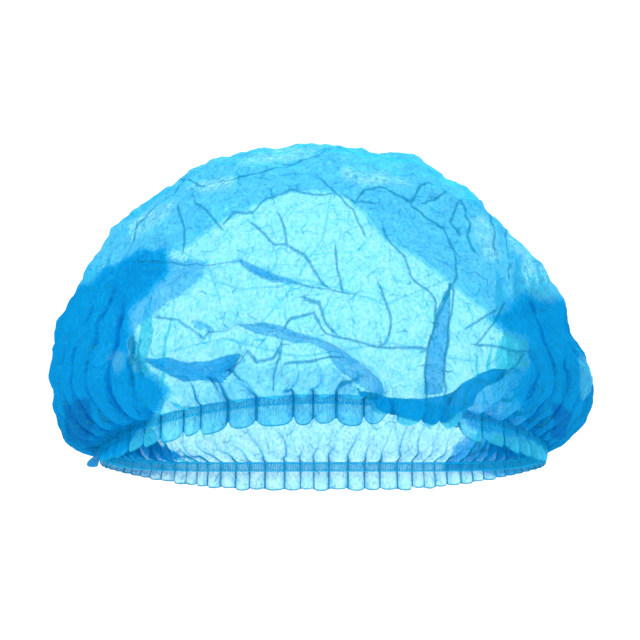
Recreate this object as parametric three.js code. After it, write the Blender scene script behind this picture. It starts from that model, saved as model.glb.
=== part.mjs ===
// Disposable bouffant cap, the strip kind, in its worn shape: a puffed crown of thin nonwoven that
// runs down into a short frill, held in round the opening by two flat elastic strips, with the
// gathered cloth fused into a small tab at each end. It is worn tipped back, the front rim higher.
// Millimetres, +Z up, +Y towards the back of the head. The origin is the middle of the opening.
import * as THREE from 'three';

// The opening, measured on the line of the elastic
const RIM_WIDTH = 224; // from one end to the other
const RIM_DEPTH = 150; // front to back
const FRONT_RISE = 35.5; // the front sits this much higher than the back
const END_DROP = 9.25; // the two ends sit this much lower than the front and back on average

// The crown
const CROWN_HEIGHT = 149; // apex above the origin
const SIDE_OVERHANG = 23; // the cloth billows this far past the rim at the ends
const FRONT_OVERHANG = 26;
const BACK_OVERHANG = 34;
const SIDE_BELLY = 28; // the widest line lies this far above the elastic at the ends
const FRONT_BELLY = 15;
const BACK_BELLY = 26;
const LEFT_SWELL = 0.65; // below 1, the cloth swells out sooner above the elastic at this end
const RIGHT_SWELL = 1.8; // above 1, later
const CLOTH_WALL = 1.5;

// The frill below the elastic
const FRONT_FRILL = 10;
const BACK_FRILL = 9.5;
const FRILL_FLARE = 1.6; // how far its edge stands out
const FRILL_STUB = 1.5; // what is left of it beside the end tabs
const BACK_FRILL_FROM = 18; // degrees from the end tabs where the back's begins to grow
const BACK_FRILL_FULL = 76; // and where it has its whole length
const SCALLOP = 1.8; // how much each gather's edge dips below its neighbours

// The gathers
const FRONT_GATHERS = 26;
const BACK_GATHERS = 44;
const FRONT_GATHER_DEPTH = 2.4;
const BACK_GATHER_DEPTH = 1.4;
const GATHER_AT_ELASTIC = 0.5; // the stitching presses them flat here
const GATHER_RISE = 7; // they reach their full depth this far above the elastic
const GATHER_REACH = 16; // and have mostly faded this far past that
const END_PLEATS = 0.5; // the extra share of depth and reach near the two ends

// The elastic strips and the fused end tabs
const ELASTIC_HEIGHT = 5;
const ELASTIC_THICKNESS = 1;
const SEAT_GAP = 0.3; // between the cloth, a strip and a tab
const TAB_WIDTH = 10;
const TAB_THICKNESS = 2.4;
const TAB_TIP_WIDTH = 5.5;
const TAB_LENGTH = 6.5; // below the elastic
const TAB_LEAN = 3.5; // its tip leans this far outwards

// Folds and crumple of the crown
const FOLD_DEPTH = 4.2;
const FOLD_WIDTH = 17;
const CRUMPLE_SIZE = 34; // across one flat facet
const CRUMPLE_DEPTH = 5;

// Main folds. from and to are [azimuth in degrees, level], where azimuth 0 is +X and -90 the front,
// and level is the share of the way up from the elastic to the apex. depth and width are shares of
// FOLD_DEPTH and FOLD_WIDTH. A crease is a groove, or a ridge if depth is positive. A ledge stands
// out above its line and tucks in below it.
const FOLDS = [
  { name: 'long_upper_left', kind: 'ledge', from: [-134, 0.43], to: [-110, 0.44], depth: 0.6, width: 0.9 },
  { name: 'long_upper_right', kind: 'ledge', from: [-110, 0.44], to: [-84, 0.35], depth: 0.7, width: 0.9 },
  { name: 'slump_left', kind: 'ledge', from: [-131, 0.3], to: [-109, 0.28], depth: 0.6, width: 0.9 },
  { name: 'slump_middle', kind: 'ledge', from: [-109, 0.28], to: [-93, 0.24], depth: 0.9, width: 1 },
  { name: 'slump_right', kind: 'ledge', from: [-93, 0.24], to: [-77, 0.08], depth: 1, width: 1 },
  { name: 'tuck_left', kind: 'ledge', from: [-134, 0.2], to: [-109, 0.17], depth: 1.1, width: 1 },
  { name: 'pleat', kind: 'crease', from: [-61, 0.38], to: [-65, 0.1], depth: 0.9, width: 0.8 },
  { name: 'sag_right', kind: 'ledge', from: [-80, 0.05], to: [-60, 0.07], depth: 1, width: 1 },
  { name: 'sag_end', kind: 'ledge', from: [-60, 0.07], to: [-44, 0.18], depth: 1, width: 1 },
  { name: 'top_long_left', kind: 'crease', from: [-142, 0.61], to: [-119, 0.58], depth: -0.5, width: 1 },
  { name: 'top_long_right', kind: 'crease', from: [-119, 0.58], to: [-80, 0.65], depth: -0.5, width: 1 },
  { name: 'branch_upper', kind: 'crease', from: [-110, 0.55], to: [-99, 0.48], depth: -0.5, width: 0.9 },
  { name: 'branch_lower', kind: 'crease', from: [-99, 0.48], to: [-88, 0.36], depth: -0.5, width: 0.9 },
  { name: 'right_upper', kind: 'crease', from: [-75, 0.52], to: [-65, 0.3], depth: -0.6, width: 1 },
  { name: 'top_right', kind: 'crease', from: [-60, 0.62], to: [-48, 0.38], depth: -0.6, width: 1.1 },
  { name: 'middle', kind: 'crease', from: [-95, 0.33], to: [-73, 0.23], depth: -0.5, width: 0.9 },
  { name: 'left_flank', kind: 'crease', from: [-147, 0.63], to: [-141, 0.38], depth: -0.7, width: 1.2 },
  { name: 'right_lobe', kind: 'ledge', from: [8, 0.26], to: [-20, 0.26], depth: -0.5, width: 1 },
  { name: 'back_high', kind: 'ledge', from: [52, 0.5], to: [128, 0.46], depth: -0.6, width: 1.1 },
  { name: 'back_low', kind: 'ledge', from: [60, 0.24], to: [118, 0.28], depth: -0.7, width: 1.1 },
  { name: 'back_rise', kind: 'crease', from: [84, 0.2], to: [104, 0.62], depth: -0.6, width: 1.1 },
];

// The crown's width at each level as a share of the plain dome's, on the left and on the right.
const OUTLINE = [
  { level: 0, left: 1, right: 1 },
  { level: 0.18, left: 1.01, right: 1 },
  { level: 0.3, left: 1, right: 0.95 },
  { level: 0.45, left: 1, right: 0.93 },
  { level: 0.6, left: 1.03, right: 0.91 },
  { level: 0.7, left: 1.03, right: 0.93 },
  { level: 0.82, left: 1, right: 0.99 },
  { level: 1, left: 1, right: 1 },
];

const HALF_TURN = Math.PI;
const QUARTER_TURN = Math.PI / 2;
const BELLY_LEVEL = 0.18; // the widest line's share of the way from the elastic to the apex
const mix = THREE.MathUtils.lerp;
const radians = THREE.MathUtils.degToRad;

// Height of the elastic's middle line at an azimuth.
function rimHeight(azimuth) {
  const s = Math.sin(azimuth);
  return -FRONT_RISE / 2 * s + END_DROP * (s * s - 1 / 2);
}

// The width's share at a level, eased from row to row of the table.
function outlineShare(level, azimuth) {
  const side = Math.cos(azimuth) < 0 ? 'left' : 'right';
  const above = OUTLINE.findIndex((row) => row.level >= level);
  const high = OUTLINE[Math.max(1, above)];
  const low = OUTLINE[Math.max(1, above) - 1];
  const share = mix(low[side], high[side], THREE.MathUtils.smoothstep(level, low.level, high.level));
  return 1 + (share - 1) * Math.abs(Math.cos(azimuth));
}

// The smooth crown, with no gathers or folds. Level 0 is the top edge of the elastic, 1 the apex.
function crownSurface(azimuth, level) {
  const s = Math.sin(azimuth);
  const low = level < BELLY_LEVEL;
  const angle = QUARTER_TURN * (low ? level / BELLY_LEVEL : (level - BELLY_LEVEL) / (1 - BELLY_LEVEL));
  const swell = mix(Math.cos(azimuth) < 0 ? LEFT_SWELL : RIGHT_SWELL, 1, s * s);
  const billow = low ? Math.sin(angle) ** swell : 1;
  const reach = (low ? 1 : Math.cos(angle)) * outlineShare(level, azimuth);
  const halfWidth = (RIM_WIDTH / 2 + SIDE_OVERHANG * billow) * reach;
  const halfDepth = (RIM_DEPTH / 2 + (s < 0 ? FRONT_OVERHANG : BACK_OVERHANG) * billow) * reach;
  const foot = rimHeight(azimuth) + ELASTIC_HEIGHT / 2;
  const belly = foot + mix(SIDE_BELLY, s < 0 ? FRONT_BELLY : BACK_BELLY, s * s);
  const z = low ? mix(belly, foot, Math.cos(angle)) : mix(belly, CROWN_HEIGHT, Math.sin(angle));
  return new THREE.Vector3(halfWidth * Math.cos(azimuth), halfDepth * s, z);
}

// Outward normal of the smooth crown, from its slopes along and up the surface.
function crownNormal(azimuth, level) {
  const step = 0.004;
  const middle = THREE.MathUtils.clamp(level, step, 1 - 2 * step);
  const along = crownSurface(azimuth + step, middle).sub(crownSurface(azimuth - step, middle));
  const up = crownSurface(azimuth, middle + step).sub(crownSurface(azimuth, middle - step));
  return along.cross(up).normalize();
}

// Length from the elastic to the apex on the widest side, which turns levels into millimetres.
function meridianLength() {
  const steps = 40;
  let length = 0;
  for (let i = 0; i < steps; i++) {
    length += crownSurface(0, i / steps).distanceTo(crownSurface(0, (i + 1) / steps));
  }
  return length;
}
const MERIDIAN = meridianLength();

// 1 at the two ends of the opening, falling to 0 over the stated angle.
function nearEnd(azimuth, degrees) {
  const fromEnd = Math.asin(Math.min(1, Math.abs(Math.sin(azimuth))));
  return Math.exp(-((fromEnd / radians(degrees)) ** 2));
}

// The gathers as a wave round the rim: 1 on a crest, -1 in a valley.
function gatherWave(azimuth) {
  const turn = azimuth / HALF_TURN;
  return Math.cos(2 * HALF_TURN * turn * (azimuth < 0 ? FRONT_GATHERS : BACK_GATHERS));
}

function fullGather(azimuth) {
  return azimuth < 0 ? FRONT_GATHER_DEPTH : BACK_GATHER_DEPTH;
}

function gatherDepth(azimuth, height) {
  const more = 1 + END_PLEATS * nearEnd(azimuth, 28);
  const full = fullGather(azimuth) * more;
  if (height < GATHER_RISE) return mix(GATHER_AT_ELASTIC, full, Math.sin(QUARTER_TURN * height / GATHER_RISE));
  return full * Math.exp(-(((height - GATHER_RISE) / (GATHER_REACH * more)) ** 2));
}

// How far one fold moves the cloth at a place, outwards.
function foldShift(fold, azimuth, level) {
  const reach = Math.cos(QUARTER_TURN * Math.max(0, level - BELLY_LEVEL) / (1 - BELLY_LEVEL));
  const perDegree = radians(RIM_WIDTH / 2 + SIDE_OVERHANG) * reach;
  const place = new THREE.Vector2(THREE.MathUtils.radToDeg(azimuth) * perDegree, level * MERIDIAN);
  const from = new THREE.Vector2(fold.from[0] * perDegree, fold.from[1] * MERIDIAN);
  const to = new THREE.Vector2(fold.to[0] * perDegree, fold.to[1] * MERIDIAN);
  const way = to.clone().sub(from);
  const length = way.length();
  way.divideScalar(length);
  place.sub(from);
  const reached = fold.width * FOLD_WIDTH;
  const along = place.dot(way);
  const across = way.cross(place) / reached;
  const past = Math.max(0, -along, along - length) / reached;
  if (Math.abs(across) > 1 || past > 1) return 0;
  const depth = fold.depth * FOLD_DEPTH * Math.cos(QUARTER_TURN * past) ** 2;
  if (fold.kind === 'crease') return depth * Math.cos(QUARTER_TURN * across) ** 2;
  return depth * Math.sin(HALF_TURN * across);
}

// A repeatable number from 0 to 1 for a cell corner.
function scatter(x, y, z, salt) {
  const s = Math.sin(x * 127.1 + y * 311.7 + z * 74.7 + salt * 53.3) * 43758.5453;
  return s - Math.floor(s);
}

// Squared distance to the nearest of the scattered points, one in each cell.
function nearestPoint(place, salt) {
  const cell = place.clone().floor();
  let best = Infinity;
  for (let i = -1; i <= 1; i++) {
    for (let j = -1; j <= 1; j++) {
      for (let k = -1; k <= 1; k++) {
        const [x, y, z] = [cell.x + i, cell.y + j, cell.z + k];
        const point = new THREE.Vector3(
          x + scatter(x, y, z, salt),
          y + scatter(x, y, z, salt + 1),
          z + scatter(x, y, z, salt + 2),
        );
        best = Math.min(best, point.distanceToSquared(place));
      }
    }
  }
  return best;
}

// Crumple with flat facets and sharp creases: two such fields subtract to straight slopes.
function crumple(place) {
  const p = place.clone().divideScalar(CRUMPLE_SIZE);
  return CRUMPLE_DEPTH * (nearestPoint(p, 1) - nearestPoint(p, 7));
}

// The crown's cloth at a place: the point on its outer face and the way out of it.
function crownCloth(azimuth, level) {
  const smooth = crownSurface(azimuth, level);
  const normal = crownNormal(azimuth, level);
  const height = level * MERIDIAN;
  let shift = gatherDepth(azimuth, height) * gatherWave(azimuth);
  shift += crumple(smooth) * THREE.MathUtils.smoothstep(height, GATHER_RISE, 2 * GATHER_REACH);
  const clear = THREE.MathUtils.smoothstep(height, 0, GATHER_RISE);
  for (const fold of FOLDS) shift += clear * foldShift(fold, azimuth, level);
  return { point: smooth.addScaledVector(normal, shift), normal };
}

// The frill and the band behind the elastic, at a height from the elastic's middle line.
function frillCloth(azimuth, drop, shift) {
  const out = new THREE.Vector3(Math.cos(azimuth) * RIM_DEPTH, Math.sin(azimuth) * RIM_WIDTH, 0).normalize();
  const point = new THREE.Vector3(Math.cos(azimuth) * RIM_WIDTH / 2, Math.sin(azimuth) * RIM_DEPTH / 2, 0);
  point.z = rimHeight(azimuth) - drop;
  return { point: point.addScaledVector(out, shift), normal: out };
}

// How far the frill has grown from its stub at the end tabs, from 0 to 1: slowly at the back.
function frillGrowth(azimuth) {
  if (Math.sin(azimuth) < 0) return 1 - nearEnd(azimuth, 14);
  const fromEnd = Math.asin(Math.min(1, Math.sin(azimuth)));
  return THREE.MathUtils.smoothstep(fromEnd, radians(BACK_FRILL_FROM), radians(BACK_FRILL_FULL));
}

function frillEdge(azimuth) {
  const full = 1 - nearEnd(azimuth, 14);
  const growth = frillGrowth(azimuth);
  const long = mix(FRILL_STUB, Math.sin(azimuth) < 0 ? FRONT_FRILL : BACK_FRILL, growth);
  const wave = gatherWave(azimuth);
  const drop = ELASTIC_HEIGHT / 2 + long - growth * SCALLOP * (1 - wave) / 2;
  return frillCloth(azimuth, drop, full * (FRILL_FLARE + fullGather(azimuth) * wave));
}

function elasticLine(azimuth, drop) {
  return frillCloth(azimuth, drop, GATHER_AT_ELASTIC * gatherWave(azimuth));
}

// Columns round the cap: two to each gather, or one where the crown is smooth.
function columns(perGather) {
  const made = [];
  for (const [gathers, start] of [[FRONT_GATHERS, -HALF_TURN], [BACK_GATHERS, 0]]) {
    const count = gathers * perGather;
    for (let i = 0; i < count; i++) made.push(start + HALF_TURN * i / count);
  }
  return made;
}

// The rows of the cloth from the frill's edge to near the apex, each with its ring of places.
function clothRows() {
  const fine = columns(2);
  const rows = [
    fine.map(frillEdge),
    fine.map((a) => elasticLine(a, ELASTIC_HEIGHT / 2)),
    fine.map((a) => elasticLine(a, -ELASTIC_HEIGHT / 2)),
  ];
  const zones = [
    { perGather: 2, rows: 14, top: 0.62 },
    { perGather: 1, rows: 5, top: 0.93 },
  ];
  let bottom = 0;
  for (const zone of zones) {
    for (let i = 1; i <= zone.rows; i++) {
      const level = mix(bottom, zone.top, i / zone.rows);
      rows.push(columns(zone.perGather).map((a) => crownCloth(a, level)));
    }
    bottom = zone.top;
  }
  return rows;
}

// A closed wall from rings of places: the outer face, the inner face one wall inside it, and the edge.
function wallGeometry(rows, apex, wall) {
  const points = [];
  const faces = [];
  const addRing = (ring, inwards) => ring.map(({ point, normal }) => {
    points.push(point.clone().addScaledVector(normal, -inwards));
    return points.length - 1;
  });
  const face = (a, b, c, outside) => faces.push(...(outside ? [a, b, c] : [a, c, b]));
  const joinRings = (low, high, outside) => {
    const ratio = low.length / high.length;
    high.forEach((corner, i) => {
      const next = high[(i + 1) % high.length];
      const below = Array.from({ length: ratio + 1 }, (_, k) => low[(i * ratio + k) % low.length]);
      const middle = Math.floor(below.length / 2);
      for (let k = 0; k < ratio; k++) face(below[k], below[k + 1], k < middle ? corner : next, outside);
      face(corner, below[middle], next, outside);
    });
  };
  const outer = rows.map((ring) => addRing(ring, 0));
  const inner = rows.map((ring) => addRing(ring, wall));
  const outerApex = addRing([apex], 0)[0];
  const innerApex = addRing([apex], wall)[0];
  for (let i = 0; i + 1 < rows.length; i++) {
    joinRings(outer[i], outer[i + 1], true);
    joinRings(inner[i], inner[i + 1], false);
  }
  const top = rows.length - 1;
  outer[0].forEach((corner, i) => {
    const next = (i + 1) % outer[0].length;
    faces.push(outer[0][next], corner, inner[0][i], outer[0][next], inner[0][i], inner[0][next]);
  });
  outer[top].forEach((corner, i) => {
    const next = (i + 1) % outer[top].length;
    face(corner, outer[top][next], outerApex, true);
    face(inner[top][i], inner[top][next], innerApex, false);
  });
  return meshGeometry(points, faces);
}

// A bar lofted through rings of corners, each ring in the same order, with flat ends.
function barGeometry(rings) {
  const corners = rings[0].length;
  const faces = [];
  for (let i = 0; i + 1 < rings.length; i++) {
    for (let k = 0; k < corners; k++) {
      const [a, b] = [i * corners + k, i * corners + (k + 1) % corners];
      const [c, d] = [a + corners, b + corners];
      faces.push(a, b, d, a, d, c);
    }
  }
  const last = (rings.length - 1) * corners;
  for (let k = 1; k + 1 < corners; k++) {
    faces.push(0, k + 1, k);
    faces.push(last, last + k, last + k + 1);
  }
  return meshGeometry(rings.flat(), faces);
}

function meshGeometry(points, faces) {
  const geometry = new THREE.BufferGeometry().setFromPoints(points);
  geometry.setIndex(faces);
  geometry.computeVertexNormals();
  return geometry;
}

function crownGeometry() {
  return wallGeometry(clothRows(), crownCloth(0, 1), CLOTH_WALL);
}

// An elastic strip lies on the inner face of the cloth, between the two end tabs.
function elasticGeometry(back) {
  const outside = CLOTH_WALL + GATHER_AT_ELASTIC + SEAT_GAP;
  const inside = outside + ELASTIC_THICKNESS;
  const endAngle = Math.asin((TAB_WIDTH / 2 + SEAT_GAP) / (RIM_DEPTH / 2 - inside * RIM_WIDTH / RIM_DEPTH));
  const start = back ? endAngle : endAngle - HALF_TURN;
  const sweep = HALF_TURN - 2 * endAngle;
  const steps = back ? BACK_GATHERS : FRONT_GATHERS;
  const rings = [];
  for (let i = 0; i <= steps; i++) {
    const azimuth = start + sweep * i / steps;
    rings.push([
      frillCloth(azimuth, -ELASTIC_HEIGHT / 2, -outside).point,
      frillCloth(azimuth, ELASTIC_HEIGHT / 2, -outside).point,
      frillCloth(azimuth, ELASTIC_HEIGHT / 2, -inside).point,
      frillCloth(azimuth, -ELASTIC_HEIGHT / 2, -inside).point,
    ]);
  }
  return barGeometry(rings);
}

// The gathered ends of the cloth, fused into a tab inside the wall, whose tip hangs out below.
function tabGeometry() {
  const bow = (TAB_WIDTH / 2) ** 2 / (2 * (RIM_DEPTH / 2) ** 2 / (RIM_WIDTH / 2));
  const outside = RIM_WIDTH / 2 - CLOTH_WALL - GATHER_AT_ELASTIC - SEAT_GAP - bow;
  const sections = [
    { drop: -ELASTIC_HEIGHT / 2, width: TAB_WIDTH, lean: 0 },
    { drop: ELASTIC_HEIGHT / 2 + FRILL_STUB, width: TAB_WIDTH, lean: 0 },
    { drop: ELASTIC_HEIGHT / 2 + mix(FRILL_STUB, TAB_LENGTH, 0.4), width: TAB_TIP_WIDTH, lean: 0 },
    { drop: ELASTIC_HEIGHT / 2 + TAB_LENGTH, width: TAB_TIP_WIDTH, lean: TAB_LEAN },
  ];
  const rings = sections.map(({ drop, width, lean }) => {
    const z = rimHeight(0) - drop;
    return [
      new THREE.Vector3(outside + lean, -width / 2, z),
      new THREE.Vector3(outside + lean, width / 2, z),
      new THREE.Vector3(outside + lean - TAB_THICKNESS, width / 2, z),
      new THREE.Vector3(outside + lean - TAB_THICKNESS, -width / 2, z),
    ];
  });
  return barGeometry(rings.reverse());
}

function piece(name, geometry, material) {
  const mesh = new THREE.Mesh(geometry, material);
  mesh.name = name;
  return mesh;
}

const nonwoven = new THREE.MeshStandardMaterial({ color: 0x39b8f2, roughness: 0.75, metalness: 0 });
const elastic = new THREE.MeshStandardMaterial({ color: 0x1f8fd6, roughness: 0.65, metalness: 0 });
const fused = new THREE.MeshStandardMaterial({ color: 0x0a72c4, roughness: 0.45, metalness: 0 });

const cap = new THREE.Group();
cap.add(piece('crown', crownGeometry(), nonwoven));
cap.add(piece('elastic_front', elasticGeometry(false), elastic));
cap.add(piece('elastic_back', elasticGeometry(true), elastic));
cap.add(piece('end_tab_right', tabGeometry(), fused));
const leftTab = piece('end_tab_left', tabGeometry(), fused);
leftTab.rotation.z = HALF_TURN;
cap.add(leftTab);

export default cap;
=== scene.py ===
"""Dresses the disposable bouffant cap: thin see-through nonwoven in its worn shape.

The cloth is worked out here from the same sizes as the CAD model, at a finer pitch, with the folds
laid over themselves and the crease lines that its solid leaves out. Lengths are millimetres until a
mesh is made, and metres from there on.
"""
import math

import bpy
import numpy as np
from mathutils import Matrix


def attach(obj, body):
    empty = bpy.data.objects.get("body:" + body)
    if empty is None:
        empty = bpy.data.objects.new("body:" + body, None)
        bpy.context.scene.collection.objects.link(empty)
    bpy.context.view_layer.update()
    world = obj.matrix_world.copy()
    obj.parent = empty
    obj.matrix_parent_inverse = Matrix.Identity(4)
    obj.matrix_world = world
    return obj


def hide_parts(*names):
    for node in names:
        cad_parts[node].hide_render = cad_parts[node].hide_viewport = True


MM = 0.001
HALF_TURN = math.pi
QUARTER_TURN = math.pi / 2

# The opening and the crown, as in the CAD model
RIM_WIDTH = 224
RIM_DEPTH = 150
FRONT_RISE = 35.5
END_DROP = 9.25
CROWN_HEIGHT = 149
SIDE_OVERHANG = 23
FRONT_OVERHANG = 26
BACK_OVERHANG = 34
SIDE_BELLY = 28
FRONT_BELLY = 15
BACK_BELLY = 26
LEFT_SWELL = 0.65
RIGHT_SWELL = 1.8
BELLY_LEVEL = 0.18
ELASTIC_HEIGHT = 5
FRONT_FRILL = 10
BACK_FRILL = 9.5
BACK_FRILL_FROM = 18  # degrees from the end tabs where the back's frill begins to grow, and is full
BACK_FRILL_FULL = 76
FRONT_FRILL_FULL = 14
FRONT_GATHERS = 26
BACK_GATHERS = 44
CLOTH_WALL = 1.5  # of the CAD solid, in whose middle the thin cloth runs

# Width at each level as a share of the plain dome's: level, left, right
OUTLINE = (
    (0, 1, 1),
    (0.18, 1.01, 1),
    (0.3, 1, 0.95),
    (0.45, 1, 0.93),
    (0.6, 1.03, 0.91),
    (0.7, 1.03, 0.93),
    (0.82, 1, 0.99),
    (1, 1, 1),
)

# How finely the cloth is made
FRONT_COLUMNS = 12  # to each gather
BACK_COLUMNS = 6
FRILL_ROWS = 6
BAND_ROWS = 4
LOW_ROWS = 20
LOW_TOP = 0.16  # level where the rows grow wider apart
ROW_PITCH = 1.9
COARSE_LEVELS = (0.72, 0.88, 0.95)  # above each of these, every second column ends
TOP_LEVEL = 0.985

# Camera, in metres but for its sensor: how much is seen across, and the middle of that, x and z
SENSOR_WIDTH = 36
CAMERA_DISTANCE = 5
SEEN_WIDTH = 0.32
SEEN_MIDDLE = (-0.0015, 0.0614)

# Studio, in metres and watts: name, place, size and power of each lamp
LIT_MIDDLE = (0, 0, 0.05)
LAMPS = (
    ("key", (-1.0, -0.9, 1.3), 0.6, 18.5),
    ("fill", (1.3, -0.8, 0.7), 0.8, 8.5),
    ("back", (0.3, 1.4, 1.0), 0.9, 26),
)
SEEN_WHITE = 1.25
SURROUND = 0.7
FLOOR_SIZE = 5
FLOOR_HEIGHT = -0.3

# Gathers, frill and the pleats of both ends
FRONT_GATHER_DEPTH = 2.6
BACK_GATHER_DEPTH = 1.9
GATHER_AT_BAND = 0.45
GATHER_RISE = 6
GATHER_REACH = 17
VALLEY_LEAN = 0.4  # of the valleys' lines of painted shade, as a share of a gather
VALLEY_REACH = 9  # how far up their lines go, how much further some do, and those at the right front
VALLEY_SPREAD = 16
VALLEY_MORE = 14
VALLEY_MORE_ACROSS = (60, 80)
END_PLEAT_DEPTH = 5  # at the front
END_PLEAT_BACK = 12
END_SLIT = 0.08  # as a share of a pleat's width
END_PLEAT_TOP = 44  # how high a pleat goes, and how much higher it can
END_PLEAT_SPREAD = 56
END_PLEAT_FROM = 3  # heights above the elastic's middle where pleats begin, and where they are full
END_PLEAT_FULL = 14
END_FROM = 80  # distance from the middle where they begin at the front and at the back, and are full
END_FROM_BACK = 64
END_FULL = 106
BAND_INSET = 0.2  # of the cloth's middle from the line of the elastic
FRILL_FLARE = 1.5
FRILL_STUB = 1.5
SCALLOP = 5  # how much shorter the front frill is between two lobes
BACK_SCALLOP = 1.6

# The cloth that hangs over the front band: from where to where across
SAG_FROM = 14
SAG_TO = 72
SAG_EASE = 16  # how gently it begins and ends
SAG_EASE_RIGHT = 14
SAG_HEIGHT = 26  # how far above the band cloth is drawn down, and how far down and out it goes
SAG_DROP = 11.5
SAG_OUT = 5.5
SAG_TUCK = 0.8  # how much of the frill is tucked up under it, and how far in from where it begins
SAG_TUCK_INSET = 8
BULGE_SCALE = 6.75  # brings the sag's bulge to 1 where it is fullest

# Folds and creases
LINE_PITCH = 5  # between the points of a drawn line
FOLDS_FROM = 2  # heights above the elastic's middle where folds begin, and where they are full
FOLDS_FULL = 9
OVERLAP = 0.45  # how far a fold's cloth slides over itself, and how far it stands out, for each mm of lap
LEDGE = 0.42
LINE_REACH = 45  # how far from a line the cloth is looked at
SIDE_STRIP = 12  # width of cloth at the ends that takes lines of both walls
LINE_FADE = 5  # distance past a line's end where it fades, and where its lap does
LAP_FADE = 4
FOLD_REACH = 2.4  # width of a fold to each side, for each mm of lap, and at least
FOLD_LEAST = 9
LEDGE_LAP = 6  # lap above which a fold stands out no further
DENT_WIDTH = 3.5
LINE_WIDTH = 6  # width over which a line's painted shade darkens the cloth
CREASE_DENT = 1.1
BACK_CREASE_SHARE = 0.5  # how strong the painted shade of the back's creases is beside the front's
TILT_PLIES = 0.9  # how much denser the cloth looks where it stands on edge
TILT_LEAST = 0.35  # the least cosine of its tilt that counts
GROUPS = 3  # of lines and of zones
NO_ZONE = -30.0  # what stands for the distance where there is no zone, no line and no cut edge
NO_LINE = 50.0
NO_EDGE = 99.0

# Elastic and thread
END_ANGLE = 0.075  # where the elastic goes into the tab
RUN_POINTS = 2000  # by which the rim's length is measured
STRIP_OFFSET = -1.3  # of its middle, inside the band
STRIP_PROFILE = ((-2.45, 0.2), (-2.35, 0.55), (-2, 0.7), (-1.6, 0.45), (0, 0.4), (1.6, 0.45), (2, 0.7),
                 (2.35, 0.55), (2.45, 0.2))  # height, thickness
STRIP_STEP = 0.9
STRIP_WAVE = 0.3  # how much of the cloth's gathers it follows
RIB_PITCH = 1.25
RIB_HEIGHT = 0.06
RIBS_TO = 1.6  # height up to which it is ribbed
ROW_HEIGHT = 1.75
STITCH_PITCH = 1.8
NEEDLE_STEP = 1.6
NEEDLE_SWAY = 0.12
THREAD_RADIUS = 0.15
INNER_THREAD = 0.55  # of a thread's middle, inside the strip's

# Fused ends: drop below the elastic's middle line, width, thickness, and how far each row leans out
FUSED_ROWS = (
    (-2.4, 9.4, 1.5, 0),
    (0, 9.6, 2.4, 0.2),
    (2.2, 9, 3.6, 0.9),
    (3.6, 7.4, 5, 1.9),
    (5, 6.2, 5.8, 2.6),
    (6.6, 5.6, 5.8, 3),
    (7.6, 4, 4.2, 3),
)
FUSED_ENDS = (("left", -1, 1, 1), ("right", 1, 0.5, -1.3))  # side, and shares of the full drop and lean
FUSED_INSET = 1.5  # of their middle from the line of the elastic
END_RIBS = 7
RIB_DEPTH = 0.5

# Texture of the nonwoven, in metres: size of its clouds, mottle and fibres, pitch of the bond points,
# size of the two webs of small creases, and how they are bent
CLOUD_SIZE = 0.009
MOTTLE_SIZE = 0.0021
FIBRE_SIZE = 0.0006
BOND_PITCH = 0.0013
WEB_SIZE = 0.017
FINE_WEB_SIZE = 0.0068
WARP_SIZE = 0.012
WARP = 0.008
TINY_GATHERS = 9  # at the stitches, to each gather
CLOTH_RELIEF = 0.0011
TEXTURE_MIDDLE = -1.55  # taken off its texture, so that it thins the cloth as much as it thickens it
LEAST_PLIES = 0.6
PLY_OPEN_SHARE = 0.5

# Texture of the other materials, in metres but for the thread's twist
ELASTIC_SPECK = 0.0009
ELASTIC_RELIEF = 0.0002
TWIST_SCALE = 900
FUSED_SPECK = 0.0007
FUSED_CLOUD = 0.003
FUSED_RELIEF = 0.0003
FLOOR_CLOUD = 0.4

# Colours of the nonwoven for light passed through and for light sent back: from one thin ply to many,
# then where fibres are parted, then the painted shade along creases and gather valleys
PASSED_TONES = (
    ((0, (0.06, 0.84, 0.93)), (0.17, (0.055, 0.49, 0.88)), (0.3, (0, 0.4, 0.83)),
     (0.58, (0, 0.31, 0.73)), (1, (0, 0.14, 0.52))),
    (0.17, 0.44, 0.72),
    (0.01, 0.33, 0.44),
)
SENT_BACK_TONES = (
    ((0, (0.09, 0.7, 0.92)), (0.17, (0.05, 0.45, 0.82)), (0.3, (0, 0.36, 0.77)),
     (0.58, (0, 0.28, 0.67)), (1, (0, 0.13, 0.48))),
    (0.17, 0.42, 0.68),
    (0.01, 0.28, 0.38),
)
SHEEN_TONE = (0.05, 0.8, 1)
SHEEN_SHARE = 0.06
PORE_TONE = (0.86, 0.985, 1)

# Colours between which the other materials vary
ELASTIC_TONES = ((0.02, 0.8, 1), (0, 0.46, 0.84))
THREAD_TONES = ((0, 0.56, 0.92), (0.02, 0.78, 1))
FUSED_TONES = ((0, 0.16, 0.46), (0, 0.3, 0.66))
FLOOR_TONES = ((0.93, 0.93, 0.93), (0.97, 0.97, 0.97))

# Crumple: size across a facet, depth, and a number that picks the pattern
CRUMPLES = ((34, 5, 1), (15, 3.3, 21), (7.5, 1.35, 41))
CRUMPLE_LEAST = 0.12  # share of it that is left at the band

# How a zone's edge wanders: size, depth, pattern, and how it grows with the edge's softness
ZONE_WANDER = ((13, 1.3, 61), (5, 0.5, 71))
ZONE_DRIFT = 0.6
ZONE_DRIFT_SOFT = 0.22
SHARP_EDGE = 2  # softness below which a zone's edge is drawn as a line
SIDE_Y = -4  # where the front wall passes into the back one

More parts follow.
